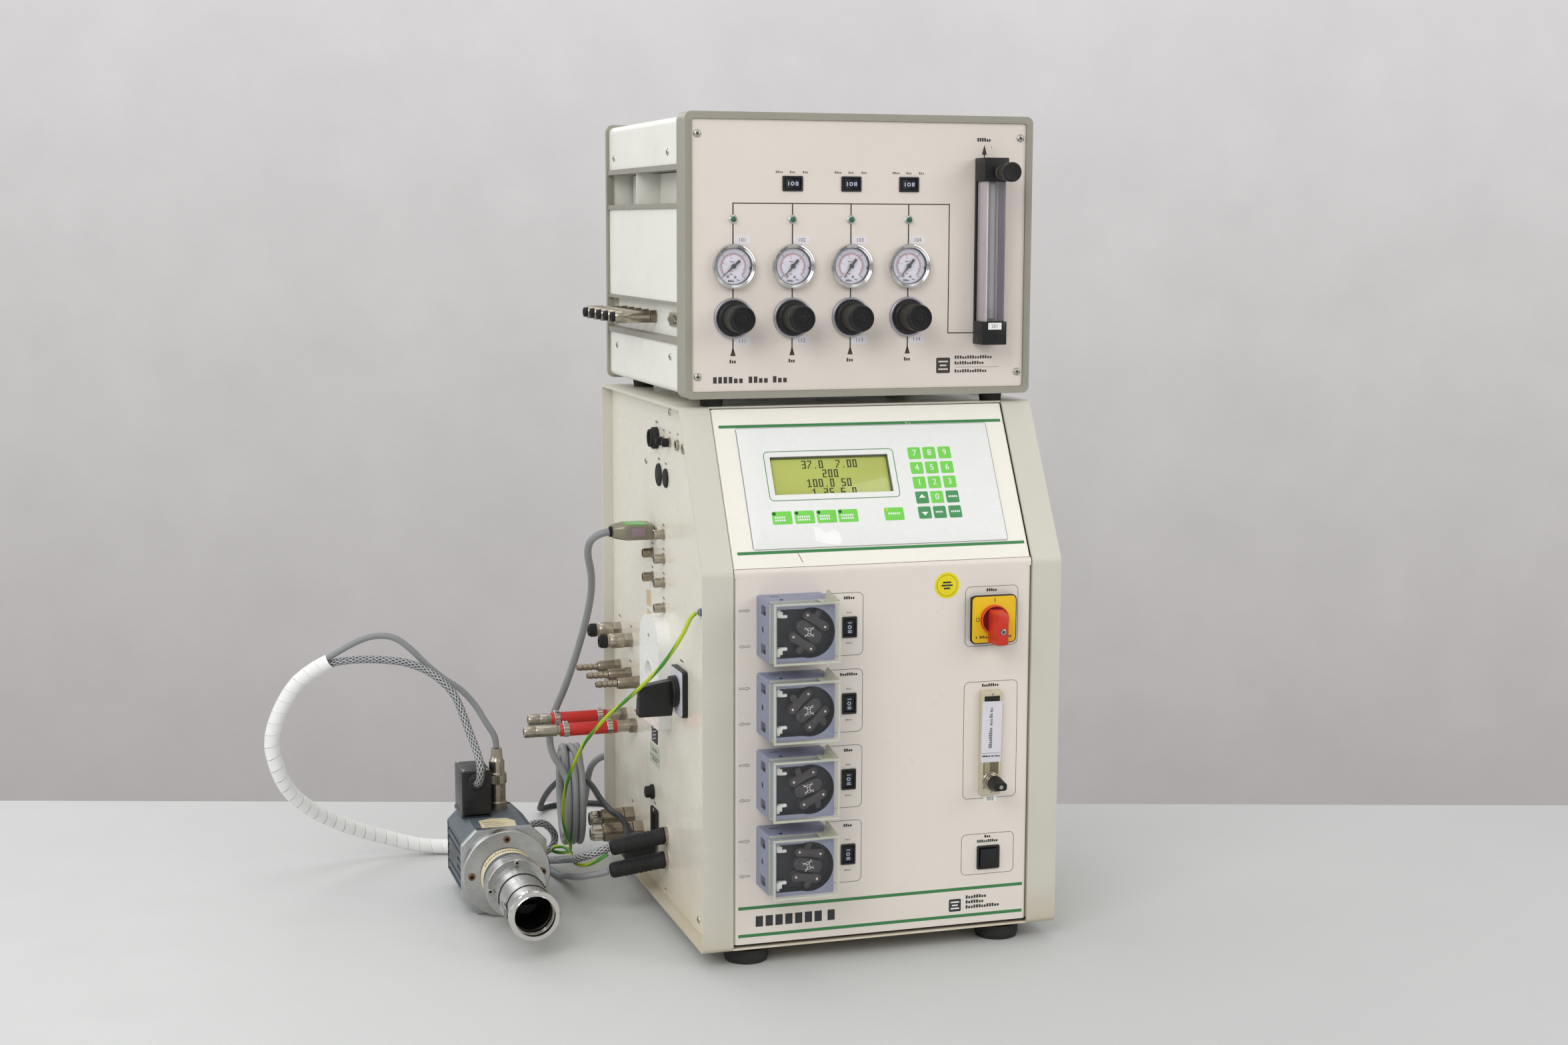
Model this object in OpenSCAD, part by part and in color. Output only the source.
// Bench bioreactor: a control tower with four tube pumps, a gas mixing unit standing on it,
// and the stirrer motor that lies on the table beside it, with its cables.
// Millimetres. +X is to the tower's right, +Y to its back, +Z up. The origin is on the table,
// in the middle of the rectangle that the tower and the motor cover.

/* [Tower] */
// Width of the tower over its side frames
tower_w = 375; // [320:1:470]
// Depth of the tower
tower_d = 436; // [380:1:540]
// Height of the tower's top above the table
tower_h = 549; // [500:1:680]
// Height of the knee where the front starts to slope back
knee_h = 395; // [380:1:450]
// How far the top edge stands back from the front
slope_run = 88; // [50:1:130]
// Width of each folded side frame
frame_w = 31; // [24:1:38]
// Thickness of the side frames' strip
frame_t = 3; // [2:0.5:5]
// Thickness of the sheet panels
sheet_t = 2; // [1:0.5:3]
// How far the side sheets stand in from the frames' outer edges
side_recess = 12; // [6:1:18]
// How far the front panels' faces stand behind the frames' faces
panel_set = 1.5; // [0.5:0.5:3]
// Height of the side frames' lower edge above the table
frame_h = 17; // [12:1:24]
// Diameter of the rubber feet
foot_d = 45; // [30:1:56]

/* [Gas unit] */
// Width of the gas unit over its bezel
gas_w = 366; // [362:1:440]
// Height of the gas unit over its bezel
gas_h = 280.4; // [276:0.2:340]
// Depth of the gas unit
gas_d = 347; // [300:1:420]
// How far the bezel stands behind the tower's front
gas_setback = 79.4; // [70:0.2:89]
// Gap between the tower's top and the gas unit
gas_gap = 8.6; // [6:0.2:20]
// Depth of the bezel
bezel_d = 32; // [20:1:45]
// Width of the bezel's lip
bezel_lip = 7; // [5:0.5:10]
// Diameter of the pressure gauges
gauge_d = 44.5; // [36:0.5:54]
// Distance from one gas channel to the next
gas_pitch = 61.2; // [56:0.2:66]
// Diameter of the regulator knobs
knob_d = 27; // [22:0.5:32]

/* [Pumps] */
// Width of a pump head
pump_w = 67; // [62:1:80]
// Height of a pump head
pump_h = 60; // [54:1:72]
// Distance from one pump to the next
pump_pitch = 76.6; // [74:0.1:80]
// Depth of the pump housing in front of the panel, without its raised front
pump_d = 38.5; // [32:0.5:46]
// Depth of the clear cover
cover_d = 20; // [17:0.5:24]
// Radius of the roller track
track_r = 23.5; // [20:0.5:25]
// Diameter of the pump shaft
pump_shaft_d = 8; // [6:0.5:10]

/* [Switches] */
// Short side of the rocker switches
rocker_w = 15; // [13:0.5:17]
// Long side of the rocker switches
rocker_l = 21; // [19:0.5:24]
// Side of the square mains switch plate
mains_plate = 49; // [42:1:56]
// Side of the square selector plate
selector_plate = 48; // [40:1:56]

/* [Motor] */
// Diameter of the motor's round flange, which it lies on
flange_d = 93; // [93:1:112]
// Side of the square motor plate
motor_plate = 90; // [78:1:92]
// Side of the finned motor body
motor_body = 84; // [72:1:88]
// Length of the finned motor body
motor_l = 112; // [90:1:135]
// Diameter of the neck's end ring
neck_ring_d = 51.4; // [48:0.2:62]
// Bore of the neck, which goes over the vessel's stirrer hub
neck_bore_d = 41; // [34:0.5:44]
// Distance from the tower's middle to the motor's axis
motor_reach = 339; // [330:1:400]

/* [Hidden] */
$fn = 48;

// Clearances
seam = 0.2;            // between neighbouring sheets and panels
run = 0.05;            // radial, round a turning shaft
gap = 0.3;             // between a moving piece and what it passes
bolt_gap = 0.2;        // radial, round a fixed stem in its hole

// Where the units stand
pump_front = pump_d - panel_set + cover_d;      // the foremost face, in front of the tower's face
total_w = tower_w / 2 + motor_reach + flange_d / 2;
tower_x = (total_w - tower_w) / 2;
tower_y = (pump_front - tower_d) / 2;
motor_x = tower_x - motor_reach;
side_x = tower_w / 2 - side_recess;             // outer face of the side sheets
panel_w = tower_w - 2 * frame_w - 2;            // front panels, 1 mm clear of each frame
slope_l = norm([slope_run, tower_h - knee_h]);
slope_a = atan2(tower_h - knee_h, slope_run);

module at_tower() translate([tower_x, tower_y, 0]) children();
module at_gas() translate([tower_x, tower_y + gas_setback, tower_h + gas_gap]) children();
module at_motor() translate([motor_x, tower_y, flange_d / 2]) children();
// Lies on the slope: x across, y up the slope from the knee, z out of the face
module on_slope() at_tower() translate([0, 0, knee_h]) rotate([slope_a, 0, 0]) children();
// Stands on the left side sheet: z points out to the left, x is up, y to the back
module on_side(y, z) at_tower() translate([-side_x, y, z]) rotate([0, -90, 0]) children();

// A box between two corners
module block(x0, x1, y0, y1, z0, z1) translate([x0, y0, z0]) cube([x1 - x0, y1 - y0, z1 - z0]);
// A box centred across on x and z, between two depths
module plate(x, z, w, h, y0, y1) block(x - w / 2, x + w / 2, y0, y1, z - h / 2, z + h / 2);
// A round bar along Y
module y_bar(x, z, y0, y1, r, r2 = undef) translate([x, y0, z]) rotate([-90, 0, 0])
    cylinder(h = y1 - y0, r1 = r, r2 = is_undef(r2) ? r : r2);
// A round bar along X
module x_bar(y, z, x0, x1, r) translate([x0, y, z]) rotate([0, 90, 0]) cylinder(h = x1 - x0, r = r);
// A profile in the Y-Z plane, pushed along X
module along_x(x0, w) translate([x0, 0, 0]) rotate([90, 0, 90]) linear_extrude(w) children();
// A profile in the X-Z plane, pushed from y0 to y1
module along_y(y0, y1) translate([0, y1, 0]) rotate([90, 0, 0]) linear_extrude(y1 - y0) children();
module both_sides() {
    children();
    mirror([1, 0, 0]) children();
}

function unit(v) = v / norm(v);
// A corner p between a and b, turned into an arc of radius r
function arc_corner(a, p, b, r, n = 6) = r <= 0 ? [p] :
    let (u = unit(a - p), v = unit(b - p), half = acos(u * v) / 2,
        c = p + unit(u + v) * r / sin(half),
        s = p + u * r / tan(half) - c, e = p + v * r / tan(half) - c,
        turn = (180 - 2 * half) * sign(cross(s, e)))
    [for (i = [0:n]) c + r * [cos(atan2(s.y, s.x) + turn * i / n), sin(atan2(s.y, s.x) + turn * i / n)]];
function rounded(pts, radii) = let (n = len(pts))
    [for (i = [0:n - 1]) each arc_corner(pts[(i + n - 1) % n], pts[i], pts[(i + 1) % n], radii[i])];
// A convex outline that runs anticlockwise, moved inwards by t
function inset(pts, t) = let (n = len(pts),
        nrm = [for (i = [0:n - 1]) let (d = unit(pts[(i + 1) % n] - pts[i])) [-d.y, d.x]])
    [for (i = [0:n - 1]) let (a = nrm[(i + n - 1) % n], b = nrm[i]) pts[i] + t * (a + b) / (1 + a * b)];
module round_rect(w, h, r) polygon(rounded(
    [[-w / 2, -h / 2], [w / 2, -h / 2], [w / 2, h / 2], [-w / 2, h / 2]], [r, r, r, r]));

// ---------------------------------------------------------------- tower body

corner_r = 6;
tower_outline = [[0, frame_h], [tower_d, frame_h], [tower_d, tower_h], [slope_run, tower_h], [0, knee_h]];
tower_radii = [corner_r, corner_r, corner_r, corner_r, 14];
function tower_edge(t) = rounded(inset(tower_outline, t), [for (r = tower_radii) max(r - t, 1)]);

module side_frames() color("#c9c8bd") at_tower() both_sides()
    along_x(tower_w / 2 - frame_w, frame_w) difference() {
        polygon(tower_edge(0));
        polygon(tower_edge(frame_t));
    }

rear_sheet = 161.32;               // length of the left side's rear sheet
side_seam = tower_d - rear_sheet;
sheet_in = frame_t + seam;
inner_w = tower_w - 2 * frame_w - 2 * seam;
module side_sheet(x0) along_x(x0, sheet_t) polygon(tower_edge(sheet_in));
module tower_sheets() color("#e9e5d8") at_tower() {
    difference() {
        side_sheet(-side_x);
        block(-side_x - 1, -side_x + sheet_t + 1, side_seam, side_seam + 2 * seam, 0, tower_h);
        side_holes();
    }
    side_sheet(side_x - sheet_t);
    block(-inner_w / 2, inner_w / 2, slope_run + sheet_in, tower_d - sheet_in, tower_h - sheet_t, tower_h);
    block(-inner_w / 2, inner_w / 2, sheet_t, tower_d - sheet_in, frame_h + 1, frame_h + 1 + sheet_t);
    difference() {
        block(-inner_w / 2, inner_w / 2, tower_d - sheet_t, tower_d, frame_h, tower_h);
        y_bar(rear_gland.x, rear_gland.y, tower_d - 5, tower_d + 1, gland_r + bolt_gap);
    }
}

// A panel with side flanges that run back, as a C in plan
module flanged(w, back, r) difference() {
    polygon(rounded([[-w / 2, 0], [w / 2, 0], [w / 2, back], [-w / 2, back]], [r, r, 0, 0]));
    polygon(rounded([[-w / 2 + sheet_t, sheet_t], [w / 2 - sheet_t, sheet_t],
        [w / 2 - sheet_t, back + 1], [-w / 2 + sheet_t, back + 1]], [r - sheet_t, r - sheet_t, 0, 0]));
}

panel_z0 = frame_h + 6.6;
panel_z1 = knee_h - 2.4;
face = panel_set;                  // the front panel's face
module front_panel() color("#e8dfd6") at_tower() difference() {
    translate([0, face, panel_z0]) linear_extrude(panel_z1 - panel_z0) flanged(panel_w, 18, 4);
    for (i = [0:3]) {
        y_bar(rotor_x, pump_z(i), 0, 10, pump_shaft_d / 2 + 2);
        plate(pump_rocker_x, pump_rocker_z(i), rocker_w - 1.6, rocker_l - 1.6, 0, 10);
    }
    y_bar(mains_x, mains_z, 0, 10, mains_shaft_r + 2);
    plate(fill_x, fill_z, fill_w - 2, fill_w - 2, 0, 10);
    for (z = aeration_ports) y_bar(aeration_x, z, 0, 10, port_r + bolt_gap);
}

slope_in = 1.5;                    // how far the sloped panel's face lies under the frames' faces
display_w = 124;
display_h = 41;
display_x = -40;
display_s = 101.6;
module control_panel() color("#efece2") on_slope() difference() {
    translate([0, slope_l - 2, -slope_in]) rotate([90, 0, 0]) linear_extrude(slope_l - 7)
        mirror([0, 1, 0]) flanged(panel_w, 12, 3);
    translate([display_x - display_w / 2 - 2, display_s - display_h / 2 - 2, -10])
        cube([display_w + 4, display_h + 4, 20]);
}

overlay_w = 267;
overlay_h = 130;
overlay_s = 88.8;
key_pitch = 16.1;
key_x = 67.1;
key_s = 89.2;
// The printed film with its raised key pads, and the display behind its window
module keypad_overlay() {
    color("#ecedea") on_slope() difference() {
        union() {
            translate([0.8 - overlay_w / 2, overlay_s - overlay_h / 2, -slope_in])
                cube([overlay_w, overlay_h, 0.6]);
            for (i = [-1:1], j = [-2:2]) translate([key_x + i * key_pitch, key_s + j * key_pitch, -slope_in])
                linear_extrude(1) round_rect(13.5, 13, 1.2);
            for (x = function_key_x) translate([x, key_s - 33, -slope_in])
                linear_extrude(1) round_rect(20.5, 14, 1.2);
        }
        translate([display_x - display_w / 2, display_s - display_h / 2, -slope_in - 1])
            cube([display_w, display_h, 3]);
    }
    color("#b4bf5e") on_slope() {
        translate([display_x - display_w / 2 - 1, display_s - display_h / 2 - 1, -slope_in - 5])
            cube([display_w + 2, display_h + 2, 3.8]);
        translate([display_x - display_w / 2 - 8, display_s - display_h / 2 - 8, -slope_in - 14])
            cube([display_w + 16, display_h + 16, 9]);
    }
}
function_key_x = [-98.7, -75.5, -52.6, -30.3, 18.2];

foot_in = 52.5;                    // how far each foot's middle stands in from the side
foot_x = tower_w / 2 - foot_in;
foot_y = [30, tower_d - 36];
gas_foot_in = 32.94;
gas_foot_x = gas_w / 2 - gas_foot_in;
gas_foot_y = [24, gas_d - 40];
module feet() color("#33332f") {
    at_tower() for (x = [-foot_x, foot_x], y = foot_y) translate([x, y, 0]) {
        cylinder(h = 5, r1 = foot_d / 2 - 1.5, r2 = foot_d / 2);
        translate([0, 0, 5]) cylinder(h = frame_h - 8, r = foot_d / 2);
        translate([0, 0, frame_h - 3]) cylinder(h = 4, r = foot_d / 2 - 4);
    }
    at_gas() for (x = [-gas_foot_x, gas_foot_x], y = gas_foot_y)
        translate([x, y, -gas_gap]) cylinder(h = gas_gap, r1 = 11, r2 = 12);
}

// ---------------------------------------------------------------- pumps

pump_x0 = -tower_w / 2 + 54.6;     // left side of the pump heads
pump_x1 = pump_x0 + pump_w;
pump_top = 343;                    // height of the top pump's shaft
function pump_z(i) = pump_top - i * pump_pitch;
rotor_x = pump_x0 + 38.4;
pump_rocker_x = pump_x1 + 28.5;
function pump_rocker_z(i) = pump_z(i) - 6.4;
body_front = face - pump_d;        // the housing's shoulder, where the cover ends
rise = 13;                         // the raised front inside the cover
cover_front = body_front - cover_d;
cover_t = 2.2;
track_floor = face - 11.5;
channel = track_r - 1;             // half the height of the channel that the tube lies in
port_z = 18.8;
rotor_turn = [40, -6, 20, 62];     // how each rotor has come to rest
pivot_r = cover_t / 2;
pin_r = 0.6;
swing_room = 1.6;                  // lets the cover's far wall pass the raised front

module pump_housing() difference() {
    union() {
        block(pump_x0, pump_x1, body_front, face, -pump_h / 2, pump_h / 2);
        block(pump_x0 + cover_t + gap, pump_x1 - cover_t - swing_room, body_front - rise, body_front + 1,
            -pump_h / 2 + cover_t + gap, pump_h / 2 - cover_t - gap);
        for (s = [-1, 1]) mirror([0, 0, s < 0 ? 1 : 0]) hinge_ear();
    }
    y_bar(rotor_x, 0, body_front - rise - 1, track_floor, track_r);
    block(pump_x0 + 5, rotor_x, body_front - rise - 1, track_floor, -channel, channel);
    y_bar(rotor_x, 0, track_floor - 1, face + 1, pump_shaft_d / 2 + run);
    for (z = [-port_z, port_z]) plate(pump_x0, z, 12, 9, -25, -16);
    x_bar(-20, 0, pump_x0 - 1, pump_x0 + 3.5, 2.5);
}
// A small ear at the left edge that holds the cover's pivot pin
module hinge_ear() translate([0, 0, pump_h / 2 - 5.8]) difference() {
    union() {
        translate([pump_x0 + pivot_r, body_front - pivot_r - gap, 0]) cylinder(h = 3.2, r = pivot_r);
        block(pump_x0 + 0.1, pump_x0 + 2 * pivot_r - 0.1, body_front - pivot_r - gap, body_front + 1, 0, 3.2);
    }
    translate([pump_x0 + pivot_r, body_front - pivot_r - gap, -1]) cylinder(h = 6, r = pin_r + run);
}
// The white clamps that grip the tube where it enters and leaves
module tube_clamps() for (s = [-1, 1]) mirror([0, 0, s < 0 ? 1 : 0]) {
    block(pump_x0 + 5 + seam, pump_x0 + 11, body_front - rise, track_floor + 1, track_r - 8, channel - seam);
    block(pump_x0 + 11, pump_x0 + 19, body_front - rise, body_front - rise + 4, track_r - 8, track_r - 5);
}
module pump_housings() at_tower() for (i = [0:3]) translate([0, 0, pump_z(i)]) {
    color("#8d8da4") pump_housing();
    color("#f2f1ee") tube_clamps();
}

roller_r = 5;
roller_at = track_r - roller_r - 1.8;
guide_at = 12.6;
module pump_rotor(i) color("#2e2d33") at_tower() translate([rotor_x, 0, pump_z(i)])
    rotate([0, rotor_turn[i], 0]) {
        f0 = body_front - rise + 3;
        y_bar(0, 0, f0, track_floor - 0.6, 7);
        y_bar(0, 0, track_floor - 4, track_floor - 0.6, track_r - 2.5);
        y_bar(0, 0, track_floor - 1, drive_y1 - 6, pump_shaft_d / 2);
        plate(0, 0, 2 * roller_at + 9, 9, f0, f0 + 5);
        plate(0, 0, 8, 2 * guide_at + 7, f0, f0 + 5);
        for (s = [-1, 1]) {
            y_bar(s * roller_at, 0, f0, f0 + 5, 4.5);
            y_bar(0, s * guide_at, f0, f0 + 5, 4);
            y_bar(s * roller_at, 0, f0 + 5, track_floor - 4, roller_r);
            y_bar(0, s * guide_at, f0 + 5, track_floor - 4, 3.6);
            y_bar(s * roller_at, 0, f0 - 0.8, f0, 1.2);
            y_bar(0, s * guide_at, f0 - 0.8, f0, 1.2);
        }
        for (a = [45, 135]) rotate([0, a, 0]) plate(0, 0, 13, 1.4, f0 - 1, f0);
    }

hinge_y = body_front - pivot_r - gap;
module pump_cover(i) color([0.86, 0.9, 0.84, 0.4]) at_tower() translate([0, 0, pump_z(i)]) {
    difference() {
        translate([0, 0, -pump_h / 2]) linear_extrude(pump_h) {
            translate([pump_x0, cover_front]) square([pump_w, cover_d - pivot_r - gap]);
            translate([pump_x0 + pivot_r, cover_front]) square([pump_w - pivot_r, cover_d - gap]);
            translate([pump_x0 + pivot_r, hinge_y]) circle(r = pivot_r);
        }
        block(pump_x0 + cover_t, pump_x1 - cover_t, cover_front + 3, body_front + 1,
            -pump_h / 2 + cover_t, pump_h / 2 - cover_t);
        // the corner by the pivot is taken off, so that it swings past the raised front
        block(pump_x0 + pivot_r + 0.4, pump_x0 + cover_t + 1, hinge_y + 0.5, body_front + 1,
            -pump_h / 2 + cover_t, pump_h / 2 - cover_t);
        for (s = [-1, 1]) mirror([0, 0, s < 0 ? 1 : 0])
            block(pump_x0 - 1, pump_x0 + cover_t + 0.1, hinge_y - 2.6, body_front + 1,
                pump_h / 2 - 6.2, pump_h / 2 - cover_t);
    }
    for (s = [-1, 1]) mirror([0, 0, s < 0 ? 1 : 0])
        translate([pump_x0 + pivot_r, hinge_y, pump_h / 2 - 5.2]) cylinder(h = 3.2, r = pin_r);
    // thumb tab over the housing's top
    translate([0, 0, pump_h / 2 + gap]) linear_extrude(2)
        polygon([[pump_x1 - 21, cover_front], [pump_x1 - 1, cover_front], [pump_x1 - 10, face - 11]]);
    translate([0, 0, pump_h / 2 - 0.5]) linear_extrude(1)
        polygon([[pump_x1 - 20, cover_front], [pump_x1 - 2, cover_front], [pump_x1 - 6, body_front - 1],
            [pump_x1 - 15, body_front - 1]]);
}

// ---------------------------------------------------------------- what is inside

drive_w = 42;
drive_y0 = face + sheet_t + 1;
drive_y1 = drive_y0 + 62;
module internal_units() color("#9a9c98") {
    // gear motors of the pumps
    at_tower() for (i = [0:3]) difference() {
        union() {
            plate(rotor_x, pump_z(i), drive_w, drive_w, drive_y0, drive_y0 + 26);
            y_bar(rotor_x, pump_z(i), drive_y0 + 26, drive_y1, drive_w / 2 - 3);
        }
        y_bar(rotor_x, pump_z(i), drive_y0 - 1, drive_y1 - 5, pump_shaft_d / 2 + run);
    }
    // power supply, circuit boards, heating circuit and pump
    at_tower() {
        block(-130, -20, tower_d - 150, tower_d - 40, frame_h + 3, frame_h + 90);
        for (i = [0:3])
            block(-20 + 16 * i, -18 + 16 * i, tower_d - 220, tower_d - 40, tower_h - 200, tower_h - 40);
        block(-24, 34, tower_d - 224, tower_d - 36, tower_h - 206, tower_h - 200.2);
        block(20, 120, tower_d - 180, tower_d - 60, frame_h + 3, frame_h + 110);
        y_bar(70, frame_h + 160, tower_d - 170, tower_d - 60, 30);
        block(60, 80, tower_d - 120, tower_d - 100, frame_h + 110, frame_h + 132);
    }
    // valves and manifold of the gas unit
    at_gas() {
        for (i = [0:3]) plate(gas_x(i), 60, 30, 30, 110, 170);
        block(gas_x(0) - 20, gas_x(3) + 20, 170, 195, 40, 80);
        block(-120, 60, 200, 310, 12, 30);
    }
}

// ---------------------------------------------------------------- switches and knobs

mains_x = 112.1;
mains_z = 338.4;
mains_shaft_r = 4;
fill_x = 113;
fill_z = 91.6;
fill_w = 24.4;
fill_travel = 3;
selector_y = 125;
selector_z = 256;
selector_shaft_r = 3;
gas_rocker_z = 211.4;
function gas_x(i) = -133.8 + i * gas_pitch;
rocker_rim = 1.6;
rocker_pin_r = 1;
rocker_axis = 2;                   // how far the rocker's pivot lies behind the panel

// A rocker switch's frame and base, face on y = 0, its long side up
module rocker_frame() difference() {
    union() {
        plate(0, 0, rocker_w, rocker_l, -1.5, 0);
        plate(0, 0, rocker_w - 2, rocker_l - 2, -1, 24);
    }
    plate(0, 0, rocker_w - 4, rocker_l - 2 * rocker_rim, -2, 9);
    x_bar(rocker_axis, 0, -rocker_w / 2 + 1.2, rocker_w / 2 - 1.2, rocker_pin_r + run);
}
// The rocker itself, in its middle position, with its pivot pins
module rocker() {
    long = rocker_l / 2 - rocker_rim - 0.9;
    wide = rocker_w - 4 - 2 * gap;
    along_x(-wide / 2, wide)
        polygon([[-1.5, long], [0, 0], [-1.5, -long], [5.5, -long + 1.4], [5.5, long - 1.4]]);
    x_bar(rocker_axis, 0, -rocker_w / 2 + 1.3, rocker_w / 2 - 1.3, rocker_pin_r);
}
module at_pump_rocker(i) at_tower() translate([pump_rocker_x, face, pump_rocker_z(i)]) children();
module at_gas_rocker(i) at_gas() translate([gas_x(i + 1), gas_face, gas_rocker_z])
    rotate([0, 90, 0]) children();

module mains_base() difference() {
    union() {
        plate(mains_x, mains_z, mains_plate - 4, mains_plate - 4, -6, 0);
        plate(mains_x, mains_z, mains_plate, mains_plate, -9, -6);
        plate(mains_x, mains_z, mains_plate - 3, mains_plate - 3, sheet_t + seam, 48);
    }
    y_bar(mains_x, mains_z, -12, 40, mains_shaft_r + run);
}
module fill_base() difference() {
    union() {
        plate(fill_x, fill_z, fill_w, fill_w, -2, 0);
        plate(fill_x, fill_z, fill_w - 2.4, fill_w - 2.4, -1, 24);
    }
    plate(fill_x, fill_z, fill_w - 5, fill_w - 5, -3, 12);
}
module switch_frames() color("#1c1c1e") {
    for (i = [0:3]) at_pump_rocker(i) rocker_frame();
    for (i = [0:2]) at_gas_rocker(i) rocker_frame();
    at_tower() translate([0, face, 0]) {
        mains_base();
        fill_base();
    }
    on_side(selector_y, selector_z) difference() {
        union() {
            translate([0, 0, 3]) cube([selector_plate, selector_plate, 6], center = true);
            translate([0, 0, -26 - sheet_t]) cube([40, 40, 52], center = true);
        }
        translate([0, 0, -30]) cylinder(h = 40, r = selector_shaft_r + run);
        translate([0, 0, -sheet_t - seam]) cylinder(h = sheet_t + seam, r = 8);
    }
}

module pump_rocker(i) color("#26262a") at_pump_rocker(i) rocker();
module gas_rocker(i) color("#26262a") at_gas_rocker(i) rocker();

handle_r = 15;
module mains_handle() color("#c8281e") at_tower() translate([mains_x, face, mains_z]) {
    y_bar(0, 0, -13.5, -9 - gap, handle_r);
    y_bar(0, 0, -16, 38, mains_shaft_r);
    plate(0, -5.7, 14, 33.4, -31.5, -13);
    y_bar(0, -9, -32.5, -31, 3.2);
}

module selector_knob() color("#151517") on_side(selector_y, selector_z) {
    translate([0, 0, 6 + gap]) cylinder(h = 7, r = 16.5);
    translate([0, 0, -26]) cylinder(h = 34, r = selector_shaft_r);
    translate([0, 6.5, 0]) rotate([90, 0, 0]) linear_extrude(13)
        polygon([[13, 10], [6, 45], [-24, 47], [-24, 12], [-10, 10]]);
}

module fill_button() color("#232326") at_tower() translate([0, face, 0])
    plate(fill_x, fill_z, fill_w - 5 - 2 * gap, fill_w - 5 - 2 * gap, -fill_travel - 2, 6);

// ---------------------------------------------------------------- flow meters

aeration_x = 112.4;
aeration_z0 = 157.8;
aeration_z1 = 265;
aeration_ports = [aeration_z0 + 14.4, aeration_z1 - 12];
aeration_front = -6;
port_r = 4;
tube_x = 133.9;                    // the gas flow tube's axis
tube_w = 26.3;
tube_d = 27;                       // how far its blocks stand out of the panel
tube_z0 = 51.1;
tube_z1 = 238.4;
end_block = 23.5;
float_bore = 4;
float_r = 3.6;
flow_knob_x = 137;
flow_knob_z = 223.5;
knob_stem_r = 3;

module rotameters() {
    color("#bdb39a") at_tower() translate([0, face, 0]) difference() {
        union() {
            block(aeration_x - 11.2, aeration_x + 11.2, aeration_front, 0, aeration_z0, aeration_z1);
            y_bar(aeration_x, aeration_ports[0], aeration_front - 7, -1, 6.5);
            for (z = aeration_ports) y_bar(aeration_x, z, -1, 22, port_r);
        }
        y_bar(aeration_x, aeration_ports[0], aeration_front - 8, -2, knob_stem_r + run);
    }
    at_gas() translate([tube_x, gas_face, 0]) {
        color("#1b1b1d") difference() {
            union() {
                block(-tube_w / 2, tube_w / 2, -tube_d, 0, tube_z1 - end_block, tube_z1);
                block(-tube_w / 2, tube_w / 2, -tube_d, 0, tube_z0, tube_z0 + end_block);
                for (z = flow_ports) y_bar(0, z, -1, 24, port_r);
            }
            y_bar(flow_knob_x - tube_x, flow_knob_z, -tube_d - 1, -8, knob_stem_r + run);
        }
        color([0.85, 0.87, 0.87, 0.45]) difference() {
            block(-tube_w / 2 + 2, tube_w / 2 - 2, -tube_d + 2, -4, tube_z0 + end_block, tube_z1 - end_block);
            translate([0, -tube_d / 2, tube_z0 + end_block + 3])
                cylinder(h = tube_z1 - tube_z0 - 2 * end_block - 6, r = float_bore);
        }
    }
}
flow_ports = [tube_z0 + end_block / 2, tube_z1 - end_block / 2];

module gas_flow_float() color("#20242c") at_gas()
    translate([tube_x, gas_face - tube_d / 2, tube_z0 + end_block + 3 + gap]) {
        cylinder(h = 3, r1 = 2, r2 = float_r);
        translate([0, 0, 3]) cylinder(h = 5, r = float_r);
    }

module gas_flow_knob() color("#1d1d1f") at_gas() translate([flow_knob_x, gas_face, flow_knob_z]) {
    y_bar(0, 0, -tube_d - 4, -10, knob_stem_r);
    y_bar(0, 0, -tube_d - 30, -tube_d - 4, 9.8, 7.4);
    y_bar(0, 0, -tube_d - 33, -tube_d - 30, 8.8, 9.8);
}

module aeration_knob() color("#1d1d1f") at_tower() translate([aeration_x, face, aeration_ports[0]]) {
    y_bar(0, 0, aeration_front - 13, -3, knob_stem_r);
    y_bar(0, 0, aeration_front - 14.5, aeration_front - 10, 7.6, 8);
    y_bar(0, 0, aeration_front - 25.5, aeration_front - 14.5, 4.2, 7.6);
    block(-6.4, 6.4, aeration_front - 27.5, aeration_front - 14, -3.7, 3.7);
}

// ---------------------------------------------------------------- left side connections

// Each place is [distance from the front, height, radius, how far it stands out]
round_sockets = [[225, 506.5, 11.5, 9], [195, 506, 4.5, 9], [170, 506.6, 4.5, 9],
    [138, 507, 5.5, 3], [111, 506, 5.5, 3], [216, 468.6, 12, 2], [187, 468, 10, 2],
    [198, 407.7, 6, 11], [198, 382.1, 6, 11], [198, 356.7, 6, 11], [198, 330.1, 6, 11],
    [247, 381.6, 6, 11], [247, 355.9, 6, 11], [248.5, 120, 8, 9]];
// Each fitting is [distance from the front, height, hexagon radius, length]
push_fittings = [[402, 272, 9, 37], [347, 269, 9, 37]];
barb_fittings = [[405, 229, 8, 50], [352, 230, 8, 50], [307, 229, 8, 50]];
hose_fittings = [[328, 176, 9, 126], [377, 178, 9, 112]];
low_fittings = [[345, 68, 12, 50], [303, 63, 12, 58]];
boots = [[191, 87, 9], [191, 60.5, 7]];     // the third number is the droop in degrees
inlet = [240, 86];
sensor_port = [245.5, 406];
earth_lug = [49.5, 350];
rear_gland = [-130, 88];           // across from the tower's middle, and height
gland_r = 8;
outlet_y = [168, 250];
outlet_z = [205, 320];
boot_r = 7.8;
boot_l = 62;
stem_r = 5;

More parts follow.
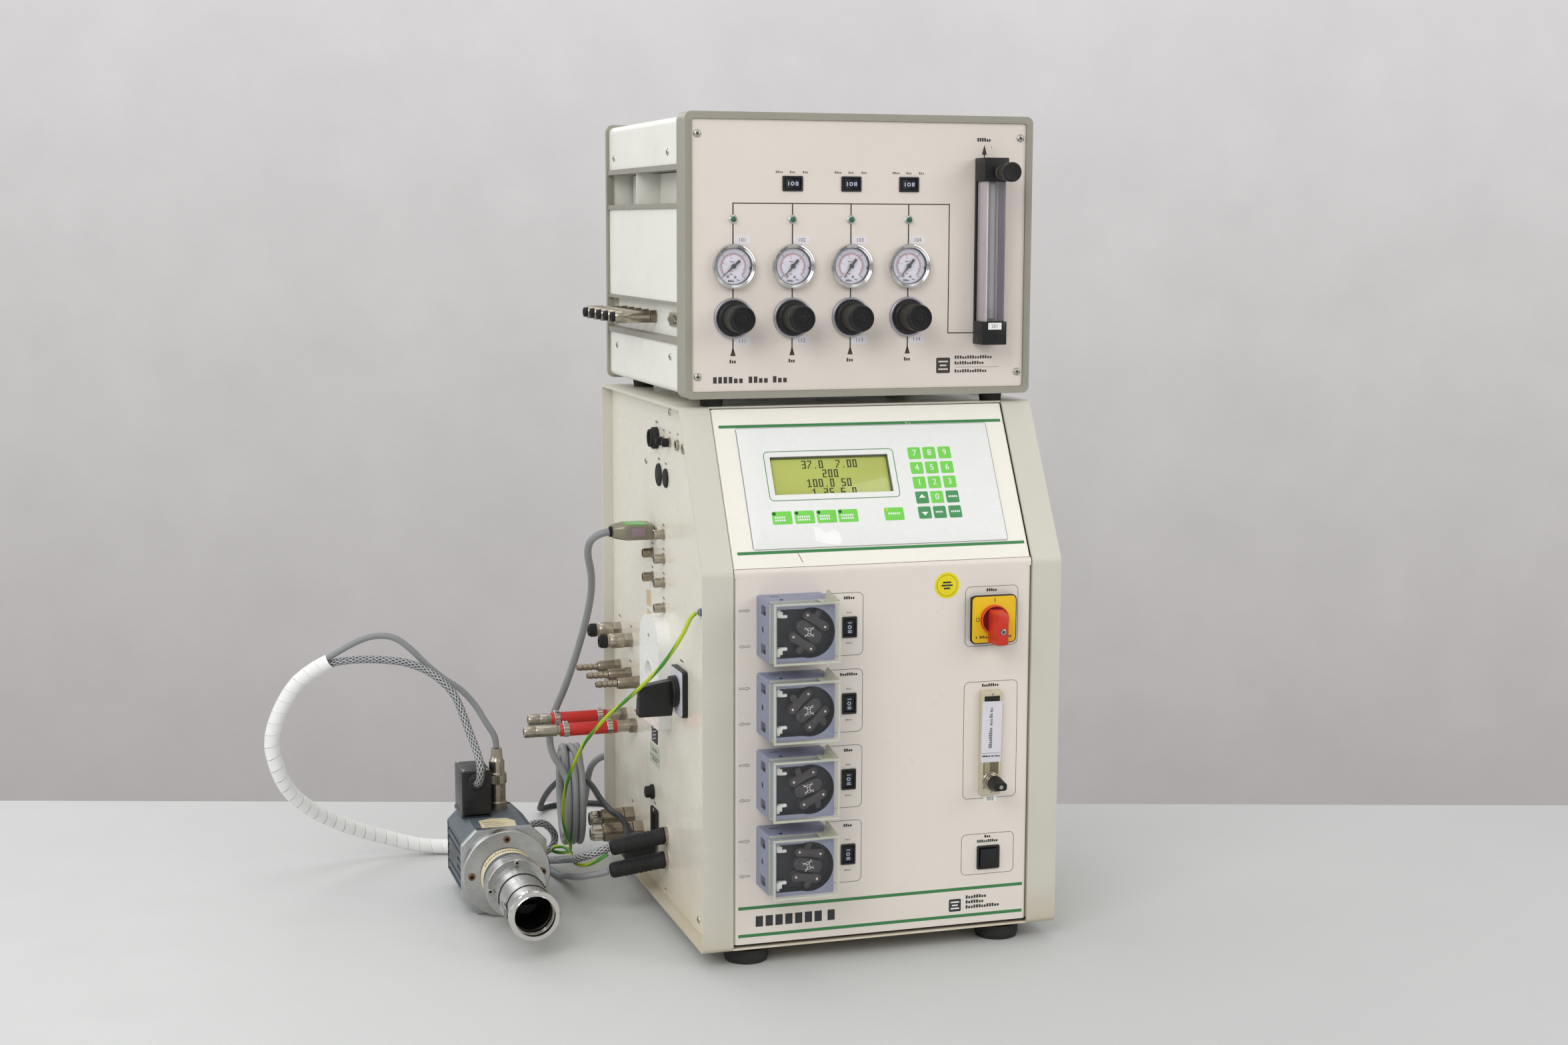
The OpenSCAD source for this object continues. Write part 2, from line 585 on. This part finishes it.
side_stems = concat([for (s = round_sockets) [s.x, s.y, min(s[2] - 1, stem_r)]],
    [for (s = concat(push_fittings, barb_fittings, hose_fittings, low_fittings)) [s.x, s.y, stem_r]],
    [for (b = boots) [b.x, b.y, stem_r]]);
module side_holes() {
    for (s = side_stems) x_bar(s.x, s.y, -side_x - 1, -side_x + sheet_t + 1, s[2] + bolt_gap);
    block(-side_x - 1, -side_x + sheet_t + 1, inlet.x - 14, inlet.x + 14, inlet.y - 11, inlet.y + 11);
    x_bar(selector_y, selector_z, -side_x - 1, -side_x + sheet_t + 1, 10);
}
module stem(y, z, r) on_side(y, z) translate([0, 0, -14]) cylinder(h = 14, r = r);

module side_sockets() {
    color("#8f9088") for (s = round_sockets) {
        stem(s.x, s.y, min(s[2] - 1, stem_r));
        on_side(s.x, s.y) cylinder(h = s[3], r = s[2]);
    }
    // white mains outlet with a rounded top
    color("#efeeea") at_tower() difference() {
        along_x(-side_x - 14, 14) polygon(rounded([[outlet_y[0], outlet_z[0]], [outlet_y[1], outlet_z[0]],
            [outlet_y[1], outlet_z[1]], [outlet_y[0], outlet_z[1]]], [4, 4, 30, 30]));
        x_bar(209, 252, -side_x - 15, -side_x - 3, 20);
    }
    // power inlet
    color("#1c1c1e") on_side(inlet.x, inlet.y) difference() {
        union() {
            translate([0, 0, 1]) cube([30, 36, 2], center = true);
            translate([0, 0, -9]) cube([21, 27, 18], center = true);
        }
        translate([0, 0, -6]) cube([17, 23, 17], center = true);
    }
    // rubber boots over the motor sockets
    color("#18181a") for (b = boots) {
        stem(b.x, b.y, stem_r);
        on_side(b.x, b.y) {
            cylinder(h = 4, r = boot_r + 0.8);
            translate([0, 0, 1.4]) rotate([0, -b[2], 0]) cylinder(h = boot_l, r1 = boot_r + 0.8, r2 = boot_r);
        }
    }
    // multi-pin sockets: the sensor lead's, and the spare one on the gas unit's strip
    color("#b4b4ae") {
        on_side(sensor_port.x, sensor_port.y) translate([0, 0, 1]) cube([12.5, 39, 2], center = true);
        at_gas() block(-strip_x - 2, -strip_x, 72, 104, gas_port_z - 7, gas_port_z + 7);
    }
    // lug of the earth wire
    color("#2f5f86") on_side(earth_lug.x, earth_lug.y) {
        cylinder(h = 2, r = 4);
        translate([1, 0, 0]) rotate([0, 16, 0]) translate([0, 0, 1]) cylinder(h = 5, r = 2.6);
    }
}

// A hexagon nut with a round stem, standing on the side sheet
module hex_fitting(r, l, tip_r) {
    cylinder(h = 9, r = r, $fn = 6);
    translate([0, 0, 9]) cylinder(h = l - 9, r = tip_r);
}
gas_ports_y = [168, 201, 234, 267, 300];
gas_port_z = 75;
gas_port_l = 45;
plug_l = 49;
module tube_fittings() {
    color("#9b968a") {
        for (f = concat(push_fittings, barb_fittings, hose_fittings, low_fittings)) stem(f.x, f.y, stem_r);
        for (f = push_fittings) on_side(f.x, f.y) hex_fitting(f[2], f[3], 8);
        for (f = barb_fittings) on_side(f.x, f.y) {
            hex_fitting(f[2], 26, 6.5);
            translate([0, 0, 26]) cylinder(h = f[3] - 26, r1 = 4, r2 = 3);
        }
        for (f = low_fittings) on_side(f.x, f.y) {
            hex_fitting(f[2], f[3] - 14, 10);
            translate([0, 0, f[3] - 14]) cylinder(h = 14, r = 8);
        }
    }
    color("#c63a2c") for (f = hose_fittings) on_side(f.x, f.y) {
        hex_fitting(f[2], 24, 8);
        translate([0, 0, 24]) cylinder(h = 62, r = 7.2);
        translate([0, 0, 86]) cylinder(h = f[3] - 86, r = 6.5);
    }
    color("#a39f93") at_gas() for (y = gas_ports_y) {
        x_bar(y, gas_port_z, -strip_x - gas_port_l, -strip_x, 7);
        x_bar(y, gas_port_z, -strip_x, -strip_x + 16, 4);
        x_bar(y, gas_port_z, -strip_x - gas_port_l - plug_l, -strip_x - gas_port_l, 5.2);
    }
}

// ---------------------------------------------------------------- gas unit

gas_face = 2;
gas_open_w = gas_w - 2 * bezel_lip;
gas_open_h = gas_h - 2 * bezel_lip;
cover_x = gas_w / 2 - 3;           // outer face of the gas unit's side covers
strip_x = gas_w / 2 - 12.5;        // outer face of the sunken connector strip
rear_ring = 7;
rail_z = [[230.4, 224.9], [192, 186.9], [93.7, 90.4], [57.6, 52]];

module gas_frame() color("#a5a596") at_gas() {
    along_y(0, bezel_d) difference() {
        translate([0, gas_h / 2]) round_rect(gas_w, gas_h, 7);
        translate([0, gas_h / 2]) round_rect(gas_open_w, gas_open_h, 2);
    }
    along_y(gas_d - rear_ring, gas_d) difference() {
        translate([0, gas_h / 2]) round_rect(gas_w, gas_h, 7);
        translate([0, gas_h / 2]) round_rect(gas_open_w, gas_open_h, 2);
    }
    both_sides() for (r = rail_z)
        block(strip_x - 8, gas_w / 2 - 1, bezel_d, gas_d - rear_ring, r[1], r[0]);
}

// A plate that fills the opening of the gas unit's frame
module gas_plate(y, t) along_y(y, y + t) translate([0, gas_h / 2])
    round_rect(gas_open_w - 2 * seam, gas_open_h - 2 * seam, 2);
grip_x = gas_w / 2 - 30;           // floor of the sunken grip
module gas_covers() color("#dfdfd8") at_gas() {
    y0 = bezel_d + seam;
    y1 = gas_d - rear_ring - seam;
    top = rail_z[0][0] + seam;
    low = rail_z[3][1] - seam;
    // top and bottom covers, folded down over the sides
    along_y(y0, y1) intersection() {
        difference() {
            translate([0, gas_h / 2]) round_rect(2 * cover_x, gas_h - 6, 6);
            translate([0, gas_h / 2]) round_rect(2 * cover_x - 4, gas_h - 10, 4);
        }
        translate([-gas_w, top]) square([2 * gas_w, gas_h]);
    }
    along_y(y0, y1) intersection() {
        difference() {
            translate([0, gas_h / 2]) round_rect(2 * cover_x, gas_h - 6, 6);
            translate([0, gas_h / 2]) round_rect(2 * cover_x - 4, gas_h - 10, 4);
        }
        translate([-gas_w, low - gas_h]) square([2 * gas_w, gas_h]);
    }
    both_sides() {
        block(cover_x - sheet_t, cover_x, y0, y1, rail_z[2][0] + seam, rail_z[1][1] - seam);
        block(grip_x - sheet_t, grip_x, y0, y1, rail_z[1][0] + seam, rail_z[0][1] - seam);
        block(grip_x, cover_x - 1, 215, 217, rail_z[1][0] + seam, rail_z[0][1] - seam);
    }
    block(strip_x - sheet_t, strip_x, y0, y1, rail_z[3][0] + seam, rail_z[2][1] - seam);
    difference() {
        block(-strip_x, -strip_x + sheet_t, y0, y1, rail_z[3][0] + seam, rail_z[2][1] - seam);
        for (y = gas_ports_y) x_bar(y, gas_port_z, -strip_x - 1, -strip_x + sheet_t + 1, 4 + bolt_gap);
    }
    gas_plate(gas_d - 4, sheet_t);
}

gauge_z = 130.4;
led_z = 176.4;
reg_z = 79.4;
module gas_front_panel() color("#dccfc4") at_gas() difference() {
    gas_plate(gas_face, 3);
    for (i = [0:3]) {
        y_bar(gas_x(i), gauge_z, 0, 9, gauge_d / 2 - 1.5);
        y_bar(gas_x(i), led_z, 0, 9, 3);
        y_bar(gas_x(i), reg_z, 0, 9, reg_stem_r + bolt_gap);
    }
    for (i = [0:2]) plate(gas_x(i + 1), gas_rocker_z, rocker_l - 1.6, rocker_w - 1.6, 0, 9);
    for (z = flow_ports) y_bar(tube_x, z, 0, 9, port_r + bolt_gap);
}

needle_pin_r = 0.8;
dial_y = -1.5;
// Case, bezel ring and dial of a pressure gauge, face on y = 0
module gauge_case() rotate([-90, 0, 0]) rotate_extrude() difference() {
    union() {
        translate([0, 0]) square([gauge_d / 2 - 2, 26]);
        translate([0, -7]) square([gauge_d / 2, 7]);
    }
    translate([0, -8]) square([gauge_d / 2 - 2.6, 8 + dial_y]);
    square([needle_pin_r + run, 6]);
    translate([0, dial_y - 1]) square([needle_pin_r + run, 3]);
}
module gauge_cases() color("#c4c4c2") at_gas() {
    for (i = [0:3]) translate([gas_x(i), gas_face, gauge_z]) gauge_case();
    // signal lamps above the gauges
    for (i = [0:3]) translate([gas_x(i), gas_face, led_z]) {
        y_bar(0, 0, -2.5, 0, 4.6);
        y_bar(0, 0, -4.5, -2.5, 3, 2);
        y_bar(0, 0, 0, 14, 3 - bolt_gap);
    }
}

needle_a = 225;                    // where the needle rests, clockwise from the top
module gauge_needle(i) color("#26262a") at_gas() translate([gas_x(i), gas_face, gauge_z])
    rotate([0, needle_a, 0]) {
        along_y(dial_y - 2.2, dial_y - 1.6)
            polygon([[-1.1, -6], [1.1, -6], [0.7, 0], [0.25, gauge_d * 0.32], [-0.25, gauge_d * 0.32],
                [-0.7, 0]]);
        y_bar(0, 0, dial_y - 2.8, dial_y - 0.6, 2.2);
        y_bar(0, 0, dial_y - 1, 5.5, needle_pin_r);
    }

reg_stem_r = 11;
reg_bore_r = 5;
module regulator_bodies() color("#aeb0ae") at_gas()
    for (i = [0:3]) translate([gas_x(i), gas_face, reg_z]) difference() {
        union() {
            y_bar(0, 0, -5, 0, 20);
            y_bar(0, 0, 0, 55, reg_stem_r);
            y_bar(0, 0, 20, 50, 19);
        }
        y_bar(0, 0, -6, 16, reg_bore_r + run);
    }

module regulator_knob(i) color("#1b1b1d") at_gas() translate([gas_x(i), gas_face, reg_z]) {
    y_bar(0, 0, -14, 15, reg_bore_r);
    y_bar(0, 0, -9, -5 - gap, knob_d / 2 + 3, knob_d / 2 + 3.5);
    y_bar(0, 0, -34.5, -8.5, knob_d / 2 - 0.2, knob_d / 2 - 0.6);
    y_bar(0, 0, -36, -34.5, knob_d / 2 - 1.8, knob_d / 2 - 0.2);
}

// ---------------------------------------------------------------- screws

module cap_screw_y(x, z, y, r, h) y_bar(x, z, y - h, y, r);
gas_side_screws = [[316, 243.4], [78, 243.4], [306, 38.4], [70, 38.4]];
side_screws = [[170, 538], [271.5, 478], [258, 285], [60, 34]];
module fasteners() color("#b9b9b2") {
    at_gas() {
        for (x = [-170, 170], z = [gas_h / 2 - 118.3, gas_h / 2 + 118.7]) cap_screw_y(x, z, gas_face, 4, 2);
        both_sides() for (s = gas_side_screws) translate([cover_x, s.x, s.y]) rotate([0, 90, 0])
            cylinder(h = 1.6, r1 = 4, r2 = 3);
    }
    for (s = side_screws) on_side(s.x, s.y) cylinder(h = 1.6, r1 = 4, r2 = 3);
    at_motor() for (a = [0:90:270]) rotate([0, a, 0]) {
        y_bar(0, 38, motor_front - 2, motor_front, 3.6);
        y_bar(0, 28.1, neck_flange_y - 3, neck_flange_y, 2.8);
    }
}

// ---------------------------------------------------------------- stirrer motor

motor_front = 232;                 // the round flange's front, behind the tower's front
flange_t = 13.4;
plate_t = 10;
body_y0 = motor_front + flange_t + plate_t;
neck_end = 79;
neck_bore_l = 19;                  // what the vessel's hub goes into, before the step
neck_step = 0.8;
neck_flange_y = 176;
coupling_r = 12;
shaft_r = 5;
module octagon(w, c) polygon([[-w / 2, -w / 2 + c], [-w / 2 + c, -w / 2], [w / 2 - c, -w / 2],
    [w / 2, -w / 2 + c], [w / 2, w / 2 - c], [w / 2 - c, w / 2], [-w / 2 + c, w / 2], [-w / 2, w / 2 - c]]);

fin_pitch = 9;
module motor_case() color("#4a525b") at_motor() {
    difference() {
        along_y(body_y0, body_y0 + motor_l) difference() {
            octagon(motor_body, 16);
            // grooves between the cooling fins of both sides
            for (s = [-1, 1], z = [-24, -24 + fin_pitch, -24 + 2 * fin_pitch, 3, 12, 21])
                translate([s * motor_body / 2, z]) square([7, 3.4], center = true);
            for (a = [45:90:315])
                rotate(a) translate([motor_body / 2 + 6, 0]) square([6, 3.4], center = true);
        }
        y_bar(0, 0, body_y0 - 1, body_y0 + motor_l - 8, shaft_r + run);
    }
}

module motor_flange() color("#bfc0c1") at_motor() difference() {
    union() {
        along_y(body_y0 - plate_t, body_y0) octagon(motor_plate, 16);
        y_bar(0, 0, motor_front, motor_front + flange_t, flange_d / 2);
        y_bar(0, 0, 196, motor_front, 29);
        y_bar(0, 0, neck_flange_y, 196, 31.5);
        y_bar(0, 0, neck_end + 8, neck_flange_y, 22.6, 24.4);
        y_bar(0, 0, neck_end, neck_end + 8, neck_ring_d / 2);
    }
    y_bar(0, 0, neck_end - 1, neck_end + neck_bore_l, neck_bore_d / 2);
    y_bar(0, 0, neck_end, 200, neck_bore_d / 2 - neck_step);
    y_bar(0, 0, 199, motor_front + flange_t - 2, 14);
    y_bar(0, 0, motor_front + 5, body_y0 + 1, shaft_r + 4);
    // side slot that the latch works in
    block(-30, -18, latch_y - 24, latch_y + 5, -latch_w / 2 - gap, latch_w / 2 + gap);
    translate([latch_x, latch_y, 0]) cylinder(h = 12, r = latch_pin_r + run, center = true);
}

// The motor's shaft with the driving dog at its end
module motor_coupling() color("#3c3d40") at_motor() {
    y_bar(0, 0, 150, body_y0 + motor_l - 12, shaft_r);
    difference() {
        y_bar(0, 0, 128, 190, coupling_r);
        plate(0, 0, 40, 5, 120, 140);
    }
}

latch_y = 122;
latch_w = 6;
latch_x = -25.5;
latch_pin_r = 1;
// The small sprung lever at the neck's left side
module neck_latch() color("#cfcfcf") at_motor() {
    difference() {
        union() {
            translate([latch_x, latch_y, -latch_w / 2]) cylinder(h = latch_w, r = 2.4);
            block(latch_x - 2.2, latch_x + 1.6, latch_y - 22, latch_y, -latch_w / 2, latch_w / 2);
            block(latch_x + 1, latch_x + 6, latch_y - 22, latch_y - 18, -latch_w / 2, latch_w / 2);
        }
    }
    translate([latch_x, latch_y, 0]) cylinder(h = 10, r = latch_pin_r, center = true);
}

connector_y = 345;
module motor_connectors() at_motor() {
    color("#1b1b1d") {
        block(-34, -1.5, connector_y - 18, connector_y + 16, motor_body / 2, motor_body / 2 + 52);
        y_bar(-19, 82.5, connector_y - 34, connector_y - 18, 9);
    }
    color("#a6a294") {
        translate([10, connector_y, motor_body / 2]) cylinder(h = 20, r = 11);
        translate([10, connector_y, motor_body / 2 + 20]) cylinder(h = 34, r = 9.5);
        translate([10, connector_y, motor_body / 2 + 54]) cylinder(h = 14, r1 = 9.5, r2 = 6);
    }
}

// ---------------------------------------------------------------- cords

// Routes are in the object's own frame, from where the cord leaves to where it ends
power_d = 8.5;
signal_d = 7;
wrap_d = 17;
sensor_d = 8;
mains_d = 7;
earth_d = 4;
wrap_points = [[-245, 290, 9], [-270, 300, 9], [-297, 304, 12], [-326, 305, 21], [-356, 299, 33],
    [-391, 286, 51], [-423, 268, 74], [-447, 250, 101], [-460, 237, 130], [-466, 230, 161],
    [-459, 222, 193], [-443, 212, 225], [-425, 204, 243], [-404, 196, 256]];
power_start = [[-139.5, 1.5, 78], [-150, 4, 74], [-161, 12, 68], [-168, 32, 60], [-167, 80, 46],
    [-161, 125, 33], [-156, 168, 20], [-160, 200, 11], [-170, 222, 6], [-185, 231, 12], [-190, 237, 27],
    [-179, 241, 42], [-160, 243, 42], [-148, 245, 26], [-154, 248, 10], [-172, 254, 5], [-200, 264, 5.5],
    [-225, 280, 10]];
power_end = [[-384, 189, 257], [-364, 183, 258], [-344, 177, 257], [-324, 171, 254], [-304, 165, 246],
    [-288, 156, 234], [-276, 147, 219], [-269, 138, 200], [-264, 126, 182], [-261, 113, 171],
    [-259, 102, 161], [-258, 97, 154], [-258, 95, 147], [-258, 96.5, 140], [-258.5, 100.5, 134],
    [-259, 106, 130.5], [-259, 113, 129], [-259, 121, 129]];
signal_start = [[-140, 1.5, 52.5], [-149, 4, 50], [-158, 11, 47], [-164, 28, 41], [-164, 70, 29],
    [-162, 115, 17], [-161, 150, 7], [-168, 188, 4], [-184, 210, 4], [-207, 233, 4], [-229, 261, 4]];
signal_end = [[-383, 192, 273], [-365, 188, 281], [-348, 185, 283], [-333, 182, 279], [-318, 179, 267],
    [-303, 176, 251], [-285, 172, 235], [-267, 169, 222], [-252, 166, 205], [-241, 161, 186],
    [-232, 157, 170], [-230, 156, 157]];
sensor_start = [[-124, 56, 406], [-133, 57, 404], [-140, 61.5, 399], [-143, 69, 391], [-142, 79, 378],
    [-136, 92, 357], [-132, 111, 332], [-133, 134, 298], [-137, 156, 264], [-142, 172, 236],
    [-148, 186, 210], [-156, 198, 184], [-160, 205, 163], [-160, 206, 146], [-157, 200, 132],
    [-151, 193, 122], [-144.4, 186.3, 113.8]];
sensor_end = [[-124, 227.2, 33.5], [-121, 246, 33], [-115, 262, 39], [-108, 274, 50], [-103, 281, 66],
    [-100, 284, 82], [-96, 285, 95], [-88, 287, 103], [-77, 289, 106], [-65, 291, 102], [-54, 291, 95],
    [-43, 287, 90], [-35, 277, 88], [-31, 264, 88]];
mains_start = [[-103, 75, 80], [-106, 92, 86], [-111, 113, 87], [-112, 160, 88], [-110, 215, 90],
    [-112, 262, 90], [-119, 300, 84], [-127, 345, 62], [-130, 388, 38], [-130, 420, 17], [-125, 445, 6],
    [-106, 463, 4], [-76, 466, 4], [-44, 454, 4], [-21, 428, 4], [-12, 388, 4], [-11.5, 350, 4]];
mains_end = [[71, 345, 17.5], [72, 362, 18], [72, 380, 18]];
earth_points = [[-82, -140, 350], [-87, -138, 344], [-93, -134, 329], [-102, -124, 309], [-111, -106, 289],
    [-121, -80, 268], [-130, -48, 247], [-142, -14, 224], [-150, 16, 202], [-156, 44, 181],
    [-159, 76, 154], [-162, 104, 125], [-161, 128, 98], [-158, 146, 75], [-152, 162, 52], [-144, 176, 34],
    [-143, 190, 23], [-151, 197, 20], [-161, 193, 24], [-161, 183, 31], [-152, 174, 33], [-149, 150, 33],
    [-157, 110, 40], [-162, 62, 46], [-161, 30, 53], [-155, 11, 60], [-147, 3, 67], [-140, 1.5, 71.2]];
sensor_coil = [-132, 228, 80];
mains_coil = [30, 340, 0];

// A curve through the points, with k steps from each to the next
function blend(a, b, c, d, t) =
    (2 * b + (c - a) * t + (2 * a - 5 * b + 4 * c - d) * t * t + (3 * b - a - 3 * c + d) * t * t * t) / 2;
function curve(p, k) = let (n = len(p) - 1) concat([for (i = [0:n - 1], j = [0:k - 1])
    blend(i > 0 ? p[i - 1] : 2 * p[0] - p[1], p[i], p[i + 1],
        i < n - 1 ? p[i + 2] : 2 * p[n] - p[n - 1], j / k)],
    [p[n]]);
// Points beside a route, a distance off it at right angles to the route and to Y
function beside(p, off) = let (n = len(p) - 1) [for (i = [0:n])
    p[i] + off * unit(cross(p[min(i + 1, n)] - p[max(i - 1, 0)], [0, 1, 0]))];
function tangent(p, i) = unit(p[min(i + 1, len(p) - 1)] - p[max(i - 1, 0)]);
// Side vectors that turn no more than the route does
function sides(p, i = 0, v = undef) = i >= len(p) ? [] :
    let (t = tangent(p, i), w = is_undef(v) ? cross(t, abs(t.z) < 0.9 ? [0, 0, 1] : [1, 0, 0]) : v,
        s = unit(w - (w * t) * t))
    concat([s], sides(p, i + 1, s));
module tube(points, d, k = 2, n = 8) {
    p = curve(points, k);
    v = sides(p);
    m = len(p);
    ring_points = [for (i = [0:m - 1], j = [0:n - 1]) let (a = 360 * j / n)
        p[i] + d / 2 * (cos(a) * v[i] + sin(a) * cross(tangent(p, i), v[i]))];
    walls = [for (i = [0:m - 2], j = [0:n - 1]) let (a = i * n + j, b = i * n + (j + 1) % n)
        each [[a, a + n, b + n], [a, b + n, b]]];
    polyhedron(ring_points, concat(walls,
        [[for (j = [0:n - 1]) j]], [[for (j = [n - 1:-1:0]) (m - 1) * n + j]]));
}

power_points = concat(power_start, beside(wrap_points, -3.5), power_end);
signal_points = concat(signal_start, beside(wrap_points, 4.25), signal_end);
module motor_power_cable() color("#b9bbbd") tube(power_points, power_d);
module motor_signal_cable() color("#8e9092") tube(signal_points, signal_d);
module cable_wrap() color("#f4f4f2") tube(wrap_points, wrap_d, 2, 12);
module earth_wire() color("#a8c020") tube(earth_points, earth_d);
module sensor_lead() color("#87898c") {
    tube(sensor_start, sensor_d);
    tube(sensor_end, sensor_d);
}
module mains_lead() color("#232427") {
    tube(mains_start, mains_d);
    tube(mains_end, mains_d);
}

sensor_coil_turn = -6;
sensor_coil_r = 58.5;
mains_coil_r = 45;
// The outer shapes of the two coils: the sensor lead's stands upright, the mains lead's lies flat
module lead_coils() color("#7c7e81") {
    translate(sensor_coil) rotate([0, 0, sensor_coil_turn]) rotate([0, 90, 0]) rotate_extrude()
        translate([sensor_coil_r - 2 * sensor_d, -1.5 * sensor_d]) square([2 * sensor_d, 3 * sensor_d]);
    translate(mains_coil) rotate_extrude()
        translate([mains_coil_r - 2 * mains_d, 0]) square([2 * mains_d, 3 * mains_d]);
}

// The plugs, connectors and the rear gland of the leads
module lead_plugs() {
    // gland of the sensor lead, in the tower's back
    color("#3a3b3d") at_tower() {
        y_bar(rear_gland.x, rear_gland.y, tower_d - 10, tower_d, gland_r);
        y_bar(rear_gland.x, rear_gland.y, tower_d, tower_d + 17.5, gland_r + 3, gland_r - 2);
    }
    // multi-pin plug of the sensor lead
    color("#8b8c7e") on_side(sensor_port.x, sensor_port.y) {
        translate([0, 0, 23.5]) cube([16, 33, 43], center = true);
        translate([0, 0, 45]) cylinder(h = 2.5, r = 5.5);
    }
    // appliance connector of the mains lead
    color("#1a1a1c") at_tower() {
        block(-side_x - 36, -side_x - 2.2, inlet.x - 12, inlet.x + 12, inlet.y - 36, inlet.y - 10);
        translate([-202, 251, 71]) rotate([-56, 0, 0]) cylinder(h = 16.5, r1 = 5.4, r2 = 4.4);
    }
    // mains plug
    color("#1a1a1c") translate([72, 380, 18]) rotate([-90, 0, 0]) {
        cylinder(h = 22, r1 = 4.6, r2 = 6.5);
        translate([0, 0, 22]) cylinder(h = 16, r1 = 10, r2 = 15);
        translate([0, 0, 38]) cylinder(h = 16, r = 18);
    }
    color("#c8c8c4") for (x = [-9.5, 9.5]) y_bar(72 + x, 18, 434, 453, 2.4);
}

side_frames();
tower_sheets();
front_panel();
control_panel();
keypad_overlay();
feet();
internal_units();
pump_housings();
pump_rotor(0);  // pump_rotor_1
pump_rotor(1);  // pump_rotor_2
pump_rotor(2);  // pump_rotor_3
pump_rotor(3);  // pump_rotor_4
pump_cover(0);  // pump_cover_1
pump_cover(1);  // pump_cover_2
pump_cover(2);  // pump_cover_3
pump_cover(3);  // pump_cover_4
switch_frames();
pump_rocker(0);  // pump_rocker_1
pump_rocker(1);  // pump_rocker_2
pump_rocker(2);  // pump_rocker_3
pump_rocker(3);  // pump_rocker_4
mains_handle();
selector_knob();
fill_button();
rotameters();
aeration_knob();
side_sockets();
tube_fittings();
fasteners();
gas_frame();
gas_covers();
gas_front_panel();
gas_rocker(0);  // gas_rocker_1
gas_rocker(1);  // gas_rocker_2
gas_rocker(2);  // gas_rocker_3
gauge_cases();
gauge_needle(0);  // gauge_needle_1
gauge_needle(1);  // gauge_needle_2
gauge_needle(2);  // gauge_needle_3
gauge_needle(3);  // gauge_needle_4
regulator_bodies();
regulator_knob(0);  // regulator_knob_1
regulator_knob(1);  // regulator_knob_2
regulator_knob(2);  // regulator_knob_3
regulator_knob(3);  // regulator_knob_4
gas_flow_knob();
gas_flow_float();
motor_case();
motor_flange();
motor_connectors();
motor_coupling();
neck_latch();
motor_power_cable();
motor_signal_cable();
cable_wrap();
sensor_lead();
mains_lead();
lead_coils();
lead_plugs();
earth_wire();
